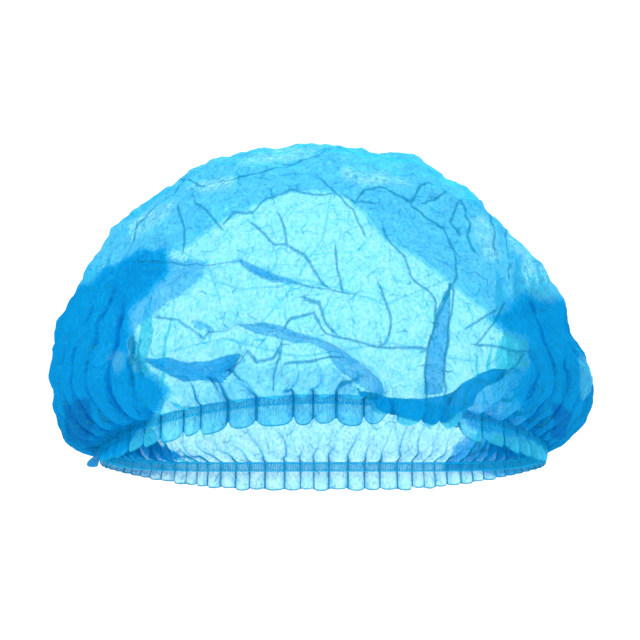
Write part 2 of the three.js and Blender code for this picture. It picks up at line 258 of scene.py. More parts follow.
# Folds of the front, drawn as seen from the front: a group, how deep the cloth is dented, and points
# of x, z and how much cloth is laid over there, all in millimetres. Lines that meet are in different
# groups, so that each keeps its own distance.
FOLDS = {
    "long_upper": (0, 1.2, (
        (-90, 91, 0), (-77, 92, 1), (-59, 88, 2), (-50, 89, 2), (-41, 91, 4), (-31, 85, 8), (-19, 82, 7),
        (-6, 78, 4), (12, 75, 0))),
    "slump": (1, 1.5, (
        (-82, 63, 0), (-66, 61, 2), (-56, 56, 3), (-49, 57, 3), (-43, 60, 6), (-35, 59, 9), (-25, 58, 10),
        (-16, 54, 9), (-4, 52, 8), (8, 48, 9), (20, 40, 12), (30, 30, 10), (35, 24, 4))),
    "tuck_left": (2, 1.5, (
        (-92, 41, 0), (-84, 40, 6), (-72, 38, 12), (-60, 35, 13), (-50, 36, 10), (-42, 43, 0))),
    "sag": (2, 1.5, ((60, 24, 0), (66, 28, 4), (74, 33, 6), (82, 36, 4), (92, 37, 0))),
    "pleat_left_edge": (0, 1.6, (
        (62.5, 80, 0), (60, 74, 0), (56, 64, 0), (52.5, 51, 0), (50.5, 39, 0), (49.5, 26, 0))),
    "pleat_right_edge": (1, 1.6, (
        (62.5, 80, 0), (62.5, 66, 0), (61, 50, 0), (59.5, 36, 0), (58.5, 26, 0))),
}

# Plain creases, drawn in the same way: a group, and points of x and z
CREASES = {
    "branch": (1, ((-36, 110), (-30, 104), (-24, 99), (-18, 99), (-9, 94), (-4, 86), (2, 78))),
    "branch_twig": (0, ((-22, 113), (-19, 106), (-18, 99))),
    "crown_drop": (1, ((0, 134), (8, 124), (14, 116), (19, 105))),
    "top_wave": (0, (
        (-51, 111), (-45, 116), (-35, 117), (-29, 121), (-14, 126), (2, 125), (10, 125), (15, 121),
        (22, 119))),
    "top_edge": (2, ((-72, 132), (-64, 131.5), (-47, 131.5), (-29, 136), (-18, 140), (0, 144))),
    "top_drop_left": (1, ((-64, 121), (-57, 115), (-52, 109))),
    "left_drop": (2, ((-74, 121), (-71, 107), (-72, 97))),
    "left_shoulder": (0, ((-70, 133), (-82, 121), (-95, 110), (-101, 92))),
    "middle_short": (2, ((6, 97), (7, 87), (9, 77))),
    "right_short": (0, ((26, 79), (30, 70), (33, 60), (33, 54))),
    "middle_long": (0, ((-18, 60), (-14, 66), (-4, 67), (2, 58), (12, 55), (30, 52), (42, 49), (52, 48))),
    "middle_upper": (2, ((-9, 72), (-2, 70), (2, 63), (8, 57))),
    "slab_peak": (0, ((-46, 29), (-42, 40), (-39, 44), (-33, 39), (-26, 40), (-23, 47), (-25, 28))),
    "under_slump": (0, ((-20, 37), (-6, 38), (6, 40))),
    "right_long": (0, ((29, 109), (32, 99), (39, 93), (42, 84), (47, 78), (54, 70), (55, 60))),
    "pleat_tip": (2, ((65, 95), (65, 83), (58, 72))),
    "loop_upper": (2, (
        (15, 121), (19, 126), (27, 127), (33, 123), (42, 120), (46, 126), (53, 128), (60, 124),
        (48, 119))),
    "loop_lower": (1, ((42, 119), (53, 111), (60, 107), (66, 96))),
    "shoulder_right": (0, ((60, 128), (66, 122), (71, 112), (70, 104), (74, 96))),
    "shoulder_twig": (2, ((66, 120), (62, 111), (66, 105))),
    "flank_right": (1, ((79, 119), (84, 107), (86, 90))),
    "flank_outer": (2, ((74, 126), (84, 116), (94, 107), (101, 99))),
    "flank_low": (0, ((92, 107), (93, 95), (91, 82))),
    "fan_one": (1, ((83, 66), (70, 58))),
    "fan_two": (2, ((89, 70), (82, 60), (76, 50))),
    "fan_three": (0, ((75, 50), (90, 48), (102, 47))),
    "fan_four": (1, ((101, 46), (96, 38), (88, 30))),
    "left_low_one": (1, ((-96, 52), (-97, 42), (-96, 30))),
    "left_low_two": (0, ((-92, 52), (-93, 42), (-91, 34))),
}
BACK_CREASES = {
    "back_rise": (0, ((-30, 60), (-12, 84), (0, 104), (4, 126))),
    "back_cross": (1, ((-74, 88), (-40, 76), (-10, 82), (30, 70), (66, 84))),
    "back_low": (2, ((-84, 44), (-50, 52), (-14, 42), (34, 50), (80, 40))),
    "back_left": (2, ((-86, 104), (-60, 92), (-52, 70))),
    "back_right": (0, ((88, 100), (66, 96), (48, 108), (30, 128))),
}

# Where the cloth is denser or lighter, outlined as seen from the front: a group that keeps neighbours
# apart, how many plies more, how gently the edge fades in millimetres, which walls have the zone, and
# points of x and z. Some of the denser zones are painted shade.
ZONES = {
    "left_end": (0, 6, 6, "both", (
        (-150, -12), (-106, -9), (-96, -2), (-88, 10), (-83, 19), (-80, 27), (-88, 35), (-93, 40),
        (-96, 52), (-98, 62), (-93, 71), (-84, 78), (-76, 86), (-78, 96), (-87, 96), (-97, 91),
        (-111, 84), (-125, 75), (-150, 74))),
    "left_fan": (1, 2.2, 3, "front", (
        (-109, 79), (-98, 86), (-87, 95), (-77, 93), (-66, 91.5), (-55, 91.5), (-59, 83), (-65, 77),
        (-78, 69), (-90, 59), (-97, 50), (-103, 61))),
    "left_shoulder": (2, 1.4, 1.4, "both", (
        (-118, 74), (-109, 80), (-96, 88), (-86, 94), (-70, 97), (-62, 104), (-47, 113), (-40, 117),
        (-31, 121), (-14, 126), (4, 126), (12, 124), (16, 118), (22, 113), (30, 104), (36, 99), (46, 94),
        (63, 81), (72, 73), (86, 62), (100, 62), (118, 70), (150, 80), (130, 170), (-130, 170),
        (-150, 80))),
    "right_end": (0, 6, 8, "both", (
        (150, 70), (116, 70), (109, 71), (100, 76), (92, 69), (84, 62), (92, 57), (101, 50), (103, 38),
        (101, 33), (95, 27), (100, 18), (102, 9), (106, 3), (113, -3), (150, -12))),
    "long_upper": (0, 1.7, 1, "front", (
        (-41, 91), (-31, 87), (-21, 83), (-12, 79.5), (0, 75.5), (-13, 79), (-24, 80), (-34, 84),
        (-40, 88.5))),
    "slump_left": (0, 1.7, 1, "front", ((-64, 60.5), (-59, 61), (-53, 56.5), (-54, 55), (-62, 57))),
    "slump_middle": (1, 2, 1, "front", (
        (-43, 59.5), (-28, 60), (-21, 59), (-14, 55), (0, 52.5), (6, 49), (14, 43), (21, 39), (28, 31),
        (32, 24), (25, 25), (17, 29.5), (10, 35), (6, 39), (2, 46), (-6, 50), (-14, 50.5), (-25, 53),
        (-33, 55.5), (-40, 58))),
    "tuck_left": (1, 3.6, 1, "front", (
        (-89, 42.5), (-78, 43), (-69, 41), (-56, 41), (-47, 44), (-40, 45), (-44, 36), (-49, 31.5),
        (-68, 31.5), (-77, 35), (-83, 38))),
    "pleat": (1, 2.6, 1, "front", (
        (62.5, 80), (62.5, 66), (61, 50), (59.5, 36), (58.5, 25), (49.5, 25), (50.5, 39), (52.5, 51),
        (56, 64), (60, 74))),
    "sag": (0, 5.5, 1, "front", (
        (15, 29.5), (20, 26.5), (33, 23.5), (48, 22.5), (58, 24), (64, 26), (70, 31), (76, 34.5),
        (84, 37), (90, 37), (88, 33), (81, 29), (76, 24.5), (74, 20), (67, 16), (61, 11), (53, 10),
        (43, 12.5), (33, 15), (27, 17.5), (25, 21), (18, 25))),
    "right_gathers": (1, 2.4, 4, "front", (
        (66, 17), (76, 27), (90, 37), (104, 40), (110, 10), (112, -2), (100, 2), (85, 5), (72, 8))),
    # Painted shade under the slumped fold, as more plies
    "under_slump": (2, 0.8, 5, "front", (
        (-48, 30), (-43, 41), (-38, 45), (-32, 40), (-23, 38), (-8, 37), (4, 39), (12, 34), (20, 27),
        (26, 20), (28, 8), (-60, 6), (-58, 28))),
    "light_left": (1, -0.9, 4, "both", (
        (-97, 110), (-89, 114), (-74, 121), (-77, 115), (-89, 107), (-97, 101))),
    "light_left_top": (1, -0.9, 5, "both", (
        (-69, 128), (-61, 131), (-44, 131.5), (-51, 126), (-61, 124.5), (-69, 126))),
    "light_top": (1, -0.8, 5, "both", (
        (-45, 141), (-26, 146), (0, 149), (0, 143), (-26, 140), (-39, 138))),
    "light_right_top": (1, -0.9, 5, "both", (
        (8, 138), (21, 136), (37, 133), (45, 128), (31, 128), (20, 128), (10, 133))),
    "light_right": (1, -0.8, 4, "both", ((71, 114), (81, 114), (87, 101), (88, 91), (82, 91), (76, 101))),
    "light_right_edge": (1, -0.8, 4, "both", (
        (91, 105), (101, 101), (105, 95), (110, 86), (114, 76), (115, 70), (106, 71), (98, 79),
        (99, 91))),
    "light_left_low": (2, -4.4, 4, "both", (
        (-107, 44), (-104, 37), (-102, 33), (-98, 38), (-97, 44), (-101, 47))),
    "light_strip": (1, -4, 1, "front", (
        (-97, 52), (-94, 54), (-92, 40), (-90, 36), (-93, 36), (-96, 42))),
    "light_lobe": (2, -4.8, 2, "front", (
        (127, 46), (132, 41), (140, 33), (134, 22), (129, 21), (127.5, 28), (127, 36))),
    "dark_patch": (1, 7, 3, "both", ((112, 21), (118, 20), (125, 14), (121, 2), (113, 3), (115, 11))),
    # The inside zones paint the shade inside the cap as more plies on the back wall seen through the
    # opening; near the ends they also stand for that wall's denser cloth
    "inside_all": (1, 0.8, 6, "back", (
        (-104, -9), (-104, 4), (-60, 16), (0, 22), (60, 16), (104, 4), (104, -9), (0, -11))),
    "inside_right": (2, 3.4, 6, "back", (
        (62, -14), (68, -3), (80, 6), (94, 16), (110, 24), (120, -6), (110, -20))),
    "inside_left_band": (0, 5, 2, "back", (
        (-99, 1), (-88, 0), (-73, -6), (-73, -11), (-86, -9), (-99, -5))),
    "inside_left": (2, 1.6, 6, "back", (
        (-72, -14), (-84, 2), (-96, 14), (-112, 20), (-118, -6), (-108, -20))),
    "dark_wedge": (1, 6, 4, "both", ((-131, 20), (-116, 22), (-114, 8), (-117, -2), (-128, 2))),
}


def smoothstep(value, low, high):
    """0 below low, 1 above high, eased between."""
    t = np.clip((value - low) / (high - low), 0, 1)
    return t * t * (3 - 2 * t)


def rim_height(azimuth):
    """Height of the elastic's middle line."""
    s = np.sin(azimuth)
    return -FRONT_RISE / 2 * s + END_DROP * (s * s - 0.5)


def outline_share(level, azimuth):
    """Width as a share of the plain dome's, eased between the rows of OUTLINE."""
    levels, left, right = np.array(OUTLINE).T
    at = np.clip(np.searchsorted(levels, level), 1, len(levels) - 1)
    t = smoothstep(level, levels[at - 1], levels[at])
    left, right = (side[at - 1] * (1 - t) + side[at] * t for side in (left, right))
    share = np.where(np.cos(azimuth) < 0, left, right)
    return 1 + (share - 1) * np.abs(np.cos(azimuth))


def crown_surface(azimuth, level):
    """The smooth crown: level 0 is the top edge of the elastic, 1 the apex."""
    azimuth, level = np.broadcast_arrays(np.asarray(azimuth, float), np.asarray(level, float))
    s = np.sin(azimuth)
    low = level < BELLY_LEVEL
    angle = QUARTER_TURN * np.where(low, level / BELLY_LEVEL, (level - BELLY_LEVEL) / (1 - BELLY_LEVEL))
    end_swell = np.where(np.cos(azimuth) < 0, LEFT_SWELL, RIGHT_SWELL)
    swell = end_swell + (1 - end_swell) * s * s
    billow = np.where(low, np.maximum(np.sin(angle), 0) ** swell, 1)
    reach = np.where(low, 1, np.cos(angle)) * outline_share(level, azimuth)
    half_width = (RIM_WIDTH / 2 + SIDE_OVERHANG * billow) * reach
    half_depth = (RIM_DEPTH / 2 + np.where(s < 0, FRONT_OVERHANG, BACK_OVERHANG) * billow) * reach
    foot = rim_height(azimuth) + ELASTIC_HEIGHT / 2
    belly = foot + SIDE_BELLY + (np.where(s < 0, FRONT_BELLY, BACK_BELLY) - SIDE_BELLY) * s * s
    rising = foot + (belly - foot) * (1 - np.cos(angle))
    doming = belly + (CROWN_HEIGHT - belly) * np.sin(angle)
    return np.stack([half_width * np.cos(azimuth), half_depth * s, np.where(low, rising, doming)], -1)


def unit(vectors):
    """The same vectors, one long."""
    return vectors / np.maximum(np.linalg.norm(vectors, axis=-1, keepdims=True), 1e-9)


def crown_normal(azimuth, level):
    """Outward normal of the smooth crown."""
    step = 0.004
    middle = np.clip(level, step, 1 - 2 * step)
    along = unit(crown_surface(azimuth + step, middle) - crown_surface(azimuth - step, middle))
    up = crown_surface(azimuth, middle + step) - crown_surface(azimuth, middle - step)
    return unit(np.cross(along, up))


MERIDIAN = float(np.linalg.norm(np.diff(crown_surface(0, np.linspace(0, 1, 41)), axis=0), axis=1).sum())


def front_point(x, z, back):
    """Azimuth and level of the smooth crown's place seen at x, z from the front."""
    azimuth, level = (0.5 if back else -0.5) * HALF_TURN, 0.5
    side = 1 if back else -1
    for _ in range(60):
        foot = rim_height(azimuth) + ELASTIC_HEIGHT / 2
        s = math.sin(azimuth)
        belly = foot + SIDE_BELLY + ((BACK_BELLY if back else FRONT_BELLY) - SIDE_BELLY) * s * s
        if z > belly:
            rise = min(0.9995, (z - belly) / (CROWN_HEIGHT - belly))
            level = BELLY_LEVEL + (1 - BELLY_LEVEL) * math.asin(rise) / QUARTER_TURN
        else:
            under = max(0, min(1, 1 - (z - foot) / (belly - foot)))
            level = BELLY_LEVEL * math.acos(under) / QUARTER_TURN
        half = abs(crown_surface(0 if x > 0 else HALF_TURN, level)[0])
        azimuth = side * math.acos(max(-0.999, min(0.999, x / half)))
    return azimuth, level


def scatter(x, y, z, salt):
    """A repeatable number from 0 to 1 for a cell corner."""
    s = np.sin(x * 127.1 + y * 311.7 + z * 74.7 + salt * 53.3) * 43758.5453
    return s - np.floor(s)


def nearest_point(place, salt):
    """Squared distance to the nearest of the scattered points, one in each cell."""
    cell = np.floor(place)
    best = np.full(len(place), np.inf)
    for corner in np.ndindex(3, 3, 3):
        at = (cell + np.array(corner) - 1).T
        point = np.stack([at[i] + scatter(*at, salt + i) for i in range(3)], -1)
        best = np.minimum(best, ((point - place) ** 2).sum(-1))
    return best


def facets(place, size, salt):
    """Flat facets with sharp creases between: two such fields subtract to straight slopes."""
    p = place / size
    return nearest_point(p, salt) - nearest_point(p, salt + 6)


def gather_count(azimuth):
    """How many gathers the wall at an azimuth has in all."""
    return np.where(azimuth < 0, FRONT_GATHERS, BACK_GATHERS)


def gather_phase(azimuth):
    """Gathers counted round the rim from the right-hand end, uneven as sewn ones are."""
    uneven = 0.2 * np.sin(azimuth * 5.3 + 1) + 0.14 * np.sin(azimuth * 11.7) + 0.1 * np.sin(azimuth * 23)
    return azimuth / HALF_TURN * gather_count(azimuth) + uneven * np.abs(np.sin(azimuth))


def gather_lobe(phase):
    """Rounded crests at whole phases, sharp valleys between: 1 on a crest, -1 in a valley."""
    return 2 * np.abs(np.cos(HALF_TURN * phase)) ** 0.75 - 1


def from_end(azimuth):
    """Angle from the nearer of the two ends."""
    return np.arcsin(np.clip(np.abs(np.sin(azimuth)), 0, 1))


def near_end(azimuth):
    """1 at the two ends of the front, falling to 0 where its frill and gathers are full."""
    return np.exp(-((from_end(azimuth) / math.radians(FRONT_FRILL_FULL)) ** 2))


def gather_shift(azimuth, height):
    """Outward shift of the crown's cloth by its gathers."""
    phase = gather_phase(azimuth)
    full = np.where(azimuth < 0, FRONT_GATHER_DEPTH, BACK_GATHER_DEPTH)
    own = 0.55 + 0.45 * np.sin(2.1 * np.round(phase) + 0.7)
    reach = GATHER_REACH * (0.6 + own)
    rise = np.sin(QUARTER_TURN * np.clip(height / GATHER_RISE, 0, 1))
    fade = np.exp(-((np.maximum(height - GATHER_RISE, 0) / reach) ** 2))
    low = (GATHER_AT_BAND + (full - GATHER_AT_BAND) * rise) * fade
    return low * gather_lobe(phase)


def line_on_crown(rows, back):
    """A drawn line as close points on the smooth crown, with its last column eased along it."""
    rows = np.array([row if len(row) > 2 else (*row, 0) for row in rows], float)
    pieces = [rows[:1]]
    for start, end in zip(rows[:-1], rows[1:]):
        count = max(1, int(np.hypot(*(end - start)[:2]) / LINE_PITCH))
        pieces.append(start + (end - start) * (np.arange(1, count + 1) / count)[:, None])
    dense = np.concatenate(pieces)
    places = np.array([front_point(x, z, back) for x, z, _ in dense])
    azimuth, level = places.T
    return crown_surface(azimuth, level), crown_normal(azimuth, level), dense[:, 2]


def from_line(points, line, normal, value):
    """At each point: signed distance from a line, way away from it, distance past its ends, its value."""
    best = np.full(len(points), np.inf)
    signed = np.zeros(len(points))
    away = np.zeros((len(points), 3))
    past = np.zeros(len(points))
    found = np.zeros(len(points))
    last = len(line) - 2
    for i in range(last + 1):
        way = line[i + 1] - line[i]
        length = np.linalg.norm(way)
        way = way / length
        offset = points - line[i]
        along = offset @ way
        inside = np.clip(along, 0, length)
        gap = offset - inside[:, None] * way
        distance = np.linalg.norm(gap, axis=1)
        nearer = distance < best
        side = unit(np.cross(normal[i], way))
        best = np.where(nearer, distance, best)
        across = offset @ side
        signed = np.where(nearer, across, signed)
        away = np.where(nearer[:, None], side, away)
        before = np.where((i == 0) & (along < 0), -along, 0)
        beyond = np.where((i == last) & (along > length), along - length, 0)
        past = np.where(nearer, before + beyond, past)
        share = inside / length
        found = np.where(nearer, value[i] * (1 - share) + value[i + 1] * share, found)
    return np.sign(signed) * best, away, past, found


def drawn_lines():
    """Every fold and crease: whether it is a fold, whether on the back, group, dent and points."""
    lines = [(True, False, group, dent, line) for group, dent, line in FOLDS.values()]
    lines += [(False, False, group, CREASE_DENT, line) for group, line in CREASES.values()]
    return lines + [(False, True, group, CREASE_DENT, line) for group, line in BACK_CREASES.values()]


def lay_folds(points, normal, cloth):
    """Moves the cloth into its folds and creases, and notes its lines in cloth for the painted shade
    along them.
    """
    moved = np.zeros_like(points)
    on_back = points[:, 1] > 0
    by_the_ends = np.abs(points[:, 1]) < SIDE_STRIP
    for is_fold, is_back, group, dent, drawn in drawn_lines():
        line, line_normal, value = line_on_crown(drawn, is_back)
        here = np.nonzero((on_back == is_back) | by_the_ends)[0]
        from_middle = np.linalg.norm(points[here][:, None] - line[None, ::2], axis=2)
        near = here[np.min(from_middle, axis=1) < LINE_REACH]
        signed, away, past, lap = from_line(points[near], line, line_normal, value)
        # Folds run either way: the plus side is made the upper one
        flip = np.where(is_fold & (away[:, 2] < 0), -1.0, 1.0)
        signed, away = signed * flip, away * flip[:, None]
        fade = np.exp(-((past / LINE_FADE) ** 2))
        lap = lap * np.exp(-((past / LAP_FADE) ** 2))
        reach = np.maximum(FOLD_REACH * lap, FOLD_LEAST)
        wave = np.sin(HALF_TURN * np.clip(signed / reach, -1, 1))
        moved[near] += (-OVERLAP * lap * wave)[:, None] * away
        moved[near] += (LEDGE * np.minimum(lap, LEDGE_LAP) * wave)[:, None] * normal[near]
        moved[near] -= (dent * fade * np.exp(-np.abs(signed) / DENT_WIDTH))[:, None] * normal[near]
        # How strongly each line's painted shade shows: it fades past the line's ends and is weaker where
        # much cloth is laid over
        mask = fade * np.exp(-((signed / LINE_WIDTH) ** 2)) * np.clip(0.8 - 0.1 * lap, 0.15, 1)
        if is_back:
            mask = mask * BACK_CREASE_SHARE
        stronger = mask > cloth["crease_near"][near, group]
        rows = near[stronger]
        cloth["crease_line"][rows, group] = signed[stronger]
        cloth["crease_near"][rows, group] = mask[stronger]
    return moved


def from_outline(x, z, outline):
    """Signed distance from a closed outline in the front view, plus inside."""
    corners = np.array(outline, float)
    inside = np.zeros(len(x), bool)
    best = np.full(len(x), np.inf)
    for (x0, z0), (x1, z1) in zip(corners, np.roll(corners, -1, axis=0)):
        square = (x1 - x0) ** 2 + (z1 - z0) ** 2
        t = np.clip(((x - x0) * (x1 - x0) + (z - z0) * (z1 - z0)) / square, 0, 1)
        best = np.minimum(best, np.hypot(x - x0 - t * (x1 - x0), z - z0 - t * (z1 - z0)))
        if z0 != z1:
            crosses = (z0 > z) != (z1 > z)
            inside ^= crosses & (x < x0 + (z - z0) * (x1 - x0) / (z1 - z0))
    return np.where(inside, best, -best)


def note_zones(points, cloth):
    """Distance from the edge of the nearest zone of each group, and how many plies it adds."""
    x, y, z = points.T
    # A zone of both walls has one edge, so that the two lie over each other as seen from the front
    wanders = [sum(depth * facets(place, size, salt) for size, depth, salt in ZONE_WANDER)
               for place in (points, points * (1, 0, 1))]
    for group, more, soft, wall, outline in ZONES.values():
        drift = (ZONE_DRIFT + ZONE_DRIFT_SOFT * soft) * wanders[wall == "both"]
        distance = (from_outline(x, z, outline) + drift) / soft
        if wall != "both":
            distance = np.where((y > SIDE_Y) == (wall == "front"), NO_ZONE, distance)
        nearer = distance > cloth["zone_edge"][:, group]
        cloth["zone_edge"][nearer, group] = distance[nearer]
        cloth["zone_more"][nearer, group] = more
        cloth["zone_line"][nearer, group] = soft < SHARP_EDGE


def end_pleats(azimuth, points, height):
    """Inward shift of the narrow slits between the pleats, which lie shut at the two ends."""
    nominal = azimuth / HALF_TURN * gather_count(azimuth)
    turn = nominal - np.floor(nominal) - 0.5
    pleat = np.floor(nominal)
    own = 0.55 + 0.7 * scatter(pleat, 5, 8, 3)
    top = END_PLEAT_TOP + END_PLEAT_SPREAD * scatter(pleat, 2, 6, 4)
    start = np.where(azimuth < 0, END_FROM, END_FROM_BACK)
    there = smoothstep(np.abs(points[:, 0]), start, END_FULL) * (1 - smoothstep(height, top, 1.3 * top))
    depth = np.where(azimuth < 0, END_PLEAT_DEPTH, END_PLEAT_BACK)
    return -depth * own * there * np.exp(-((turn / END_SLIT) ** 2))


def frill_growth(azimuth):
    """How far the frill has grown from its stub at the end tabs, from 0 to 1: slowly at the back."""
    back = smoothstep(from_end(azimuth), math.radians(BACK_FRILL_FROM), math.radians(BACK_FRILL_FULL))
    return np.where(np.sin(azimuth) < 0, 1 - near_end(azimuth), back)


def sag_share(azimuth, inset=0):
    """1 on the stretch of the front whose cloth hangs over the band, falling to 0 at its ends."""
    x = RIM_WIDTH / 2 * np.cos(azimuth)
    rising = smoothstep(x, SAG_FROM + inset, SAG_FROM + SAG_EASE + inset)
    return np.where(azimuth < 0, rising * (1 - smoothstep(x, SAG_TO - SAG_EASE_RIGHT, SAG_TO)), 0)


def hang_over(azimuth, height):
    """How far down and out the cloth sags where it hangs over the front band."""
    where = sag_share(azimuth) * (1 + 0.06 * np.sin(azimuth * 31))
    t = np.clip(height / SAG_HEIGHT, 0, 1)
    bulge = BULGE_SCALE * t * (1 - t) ** 2
    return SAG_DROP * where * bulge, SAG_OUT * where * np.sqrt(bulge)


def ring_columns():
    """Azimuths of a full ring of the cloth, the front's first."""
    front, back = (np.arange(count) / count
                   for count in (FRONT_GATHERS * FRONT_COLUMNS, BACK_GATHERS * BACK_COLUMNS))
    return HALF_TURN * np.concatenate([front - 1, back])


def frill_place(azimuth, drop, shift):
    """A place on the frill or the band, drop below the elastic's middle line."""
    c, s = np.cos(azimuth), np.sin(azimuth)
    out = unit(np.stack([c * RIM_DEPTH, s * RIM_WIDTH, np.zeros_like(azimuth)], -1))
    foot = np.stack([c * RIM_WIDTH / 2, s * RIM_DEPTH / 2, rim_height(azimuth) - drop], -1)
    return foot + out * np.broadcast_to(shift, azimuth.shape)[:, None], out


def cloth_rings():
    """Rings of the smooth cloth from the frill's edge to near the apex.

    Each has its points, normals, azimuths, heights above the elastic's middle line, and distances
    from the frill's cut edge.
    """
    azimuth = ring_columns()
    phase = gather_phase(azimuth)
    lobe = gather_lobe(phase)
    full = 1 - near_end(azimuth)
    growth = frill_growth(azimuth)
    frill = FRILL_STUB + (np.where(azimuth < 0, FRONT_FRILL, BACK_FRILL) - FRILL_STUB) * growth
    frill -= (FRONT_FRILL - FRILL_STUB) * SAG_TUCK * sag_share(azimuth, SAG_TUCK_INSET)
    from_crest = 2 * np.abs(phase - np.round(phase))
    rounded = 1 - np.sqrt(1 - np.minimum(from_crest, 1) ** 2.3)
    scallop = np.minimum(np.where(azimuth < 0, SCALLOP, BACK_SCALLOP) * growth, 0.6 * frill) * rounded
    own = 0.8 * np.sin(3.7 * np.round(phase) + 2) * growth
    depth = np.where(azimuth < 0, FRONT_GATHER_DEPTH, BACK_GATHER_DEPTH)
    rings = []
    for i in range(FRILL_ROWS):
        t = 1 - i / FRILL_ROWS
        drop = ELASTIC_HEIGHT / 2 + (frill - scallop + 0.6 * own) * t
        curl = 0.5 * np.sin(HALF_TURN * t) + FRILL_FLARE * t + 0.5 * own * t * t
        opening = np.sin(QUARTER_TURN * min(1, 2.2 * t))
        swing = (GATHER_AT_BAND + (depth - GATHER_AT_BAND) * opening) * lobe
        place = frill_place(azimuth, drop, full * (curl + swing) - BAND_INSET)
        rings.append((*place, azimuth, -drop, frill * (1 - t)))
    uncut = np.full(len(azimuth), NO_EDGE)
    for i in range(BAND_ROWS + 1):
        drop = ELASTIC_HEIGHT * (0.5 - i / BAND_ROWS)
        place = frill_place(azimuth, drop, GATHER_AT_BAND * lobe - BAND_INSET)
        rings.append((*place, azimuth, np.full(len(azimuth), -drop), uncut))
    levels = list(np.linspace(0, LOW_TOP, LOW_ROWS + 1)[1:])
    while levels[-1] < TOP_LEVEL:
        levels.append(levels[-1] + ROW_PITCH / MERIDIAN)
    for level in levels:
        skip = 2 ** sum(level > coarse for coarse in COARSE_LEVELS)
        at = azimuth[::skip]
        height = np.full(len(at), ELASTIC_HEIGHT / 2 + level * MERIDIAN)
        rings.append((crown_surface(at, level), crown_normal(at, level), at, height, uncut[::skip]))
    return rings


def crumple_shift(points, height):
    """Outward shift of the cloth by its facets, slight at the band."""
    deep = smoothstep(height, GATHER_RISE, 2.2 * GATHER_REACH)
    shift = np.zeros(len(points))
    for size, depth, salt in CRUMPLES:
        shift += depth * facets(points, size, salt)
    return shift * (CRUMPLE_LEAST + (1 - CRUMPLE_LEAST) * deep)


def crown_cloth():
    """The points of the crown's cloth, how many each ring has, and what the finish reads at each."""
    rings = cloth_rings()
    counts = [len(ring[0]) for ring in rings]
    top = (crown_surface(0, 1)[None], [[0, 0, 1]], [0], [ELASTIC_HEIGHT / 2 + MERIDIAN], [NO_EDGE])
    points, normal, azimuth, height, edge = (np.concatenate(part) for part in zip(*rings, top))
    cloth = {
        "zone_edge": np.full((len(points), GROUPS), NO_ZONE),
        "zone_more": np.zeros((len(points), GROUPS)),
        "zone_line": np.zeros((len(points), GROUPS)),
        "crease_line": np.full((len(points), GROUPS), NO_LINE),
        "crease_near": np.zeros((len(points), GROUPS)),
    }
    above = height > ELASTIC_HEIGHT / 2 + 1e-6
    moved = lay_folds(points, normal, cloth) * smoothstep(height, FOLDS_FROM, FOLDS_FULL)[:, None]
    moved[~above] = 0
    lift = gather_shift(azimuth, height - ELASTIC_HEIGHT / 2) + crumple_shift(points, height)
    lift += end_pleats(azimuth, points, height) * smoothstep(height, END_PLEAT_FROM, END_PLEAT_FULL)
    moved[above] += (lift[above] - CLOTH_WALL / 3)[:, None] * normal[above]
    down, out = hang_over(azimuth, height - ELASTIC_HEIGHT / 2)
    moved[above] += out[above, None] * normal[above] * (1, 1, 0) - down[above, None] * np.array([0, 0, 1])
    note_zones(points + moved, cloth)
    # The valleys' lines of painted shade lean to and fro above the band, and each fades at its own height
    lean = VALLEY_LEAN * np.sin(height / 9 + azimuth * 7) * smoothstep(height, ELASTIC_HEIGHT, SAG_HEIGHT)
    phase = gather_phase(azimuth) + lean
    cloth["phase"], cloth["height"], cloth["edge"] = phase, height, edge
    cloth["azimuth"], cloth["normal"] = azimuth, normal
    reach = VALLEY_REACH + VALLEY_SPREAD * scatter(np.round(phase + 0.5), 3, 5, 9)
    reach += np.where(azimuth < 0, VALLEY_MORE * smoothstep(points[:, 0], *VALLEY_MORE_ACROSS), 0)
    above_band = np.maximum(height - ELASTIC_HEIGHT / 2, 0)
    cloth["valley_near"] = np.exp(-((above_band / reach) ** 2))
    return points + moved, counts, cloth


def crown_faces(counts):
    """Faces between neighbouring rings, two columns meeting one where a ring has half as many."""
    faces, first = [], 0
    for low, high in zip(counts[:-1], counts[1:]):
        above = first + low
        ratio = low // high
        i = np.arange(high)
        ahead = (i + 1) % high
        if ratio == 1:
            faces += np.stack([first + i, first + ahead, above + ahead, above + i], 1).tolist()
        else:
            faces += np.stack([first + 2 * i, first + 2 * i + 1, above + i], 1).tolist()
            faces += np.stack([first + 2 * i + 1, first + (2 * i + 2) % low, above + ahead], 1).tolist()
            faces += np.stack([above + i, first + 2 * i + 1, above + ahead], 1).tolist()
        first = above
    i = np.arange(counts[-1])
    apex = first + counts[-1]
    faces += np.stack([first + i, first + (i + 1) % counts[-1], np.full(len(i), apex)], 1).tolist()
    return faces


def new_piece(name, points, faces):
    """A smooth mesh of its own, from points in millimetres."""
    mesh = bpy.data.meshes.new(name)
    mesh.from_pydata((np.asarray(points) * MM).tolist(), [], faces)
    mesh.validate()
    mesh.polygons.foreach_set("use_smooth", [True] * len(mesh.polygons))
    piece = bpy.data.objects.new(name, mesh)
    bpy.context.scene.collection.objects.link(piece)
    return piece


def keep(piece, name, values):
    """Keeps a number or a vector for each point, for the materials to read."""
    values = np.asarray(values, np.float32)
    kind, field = ("FLOAT", "value") if values.ndim == 1 else ("FLOAT_VECTOR", "vector")
    piece.data.attributes.new(name, kind, "POINT").data.foreach_set(field, values.ravel())


def flatten(piece, azimuth, height):
    """UVs of the cloth laid out flat from its apex, in metres about 0.5, 0.5."""
    radius = (MERIDIAN + ELASTIC_HEIGHT / 2 - height) * MM
    flat = np.stack([0.5 + radius * np.cos(azimuth), 0.5 + radius * np.sin(azimuth)], 1)
    layer = piece.data.uv_layers.new(name="flat_cloth")
    corners = np.empty(len(piece.data.loops), np.int32)
    piece.data.loops.foreach_get("vertex_index", corners)
    layer.data.foreach_set("uv", flat[corners].astype(np.float32).ravel())


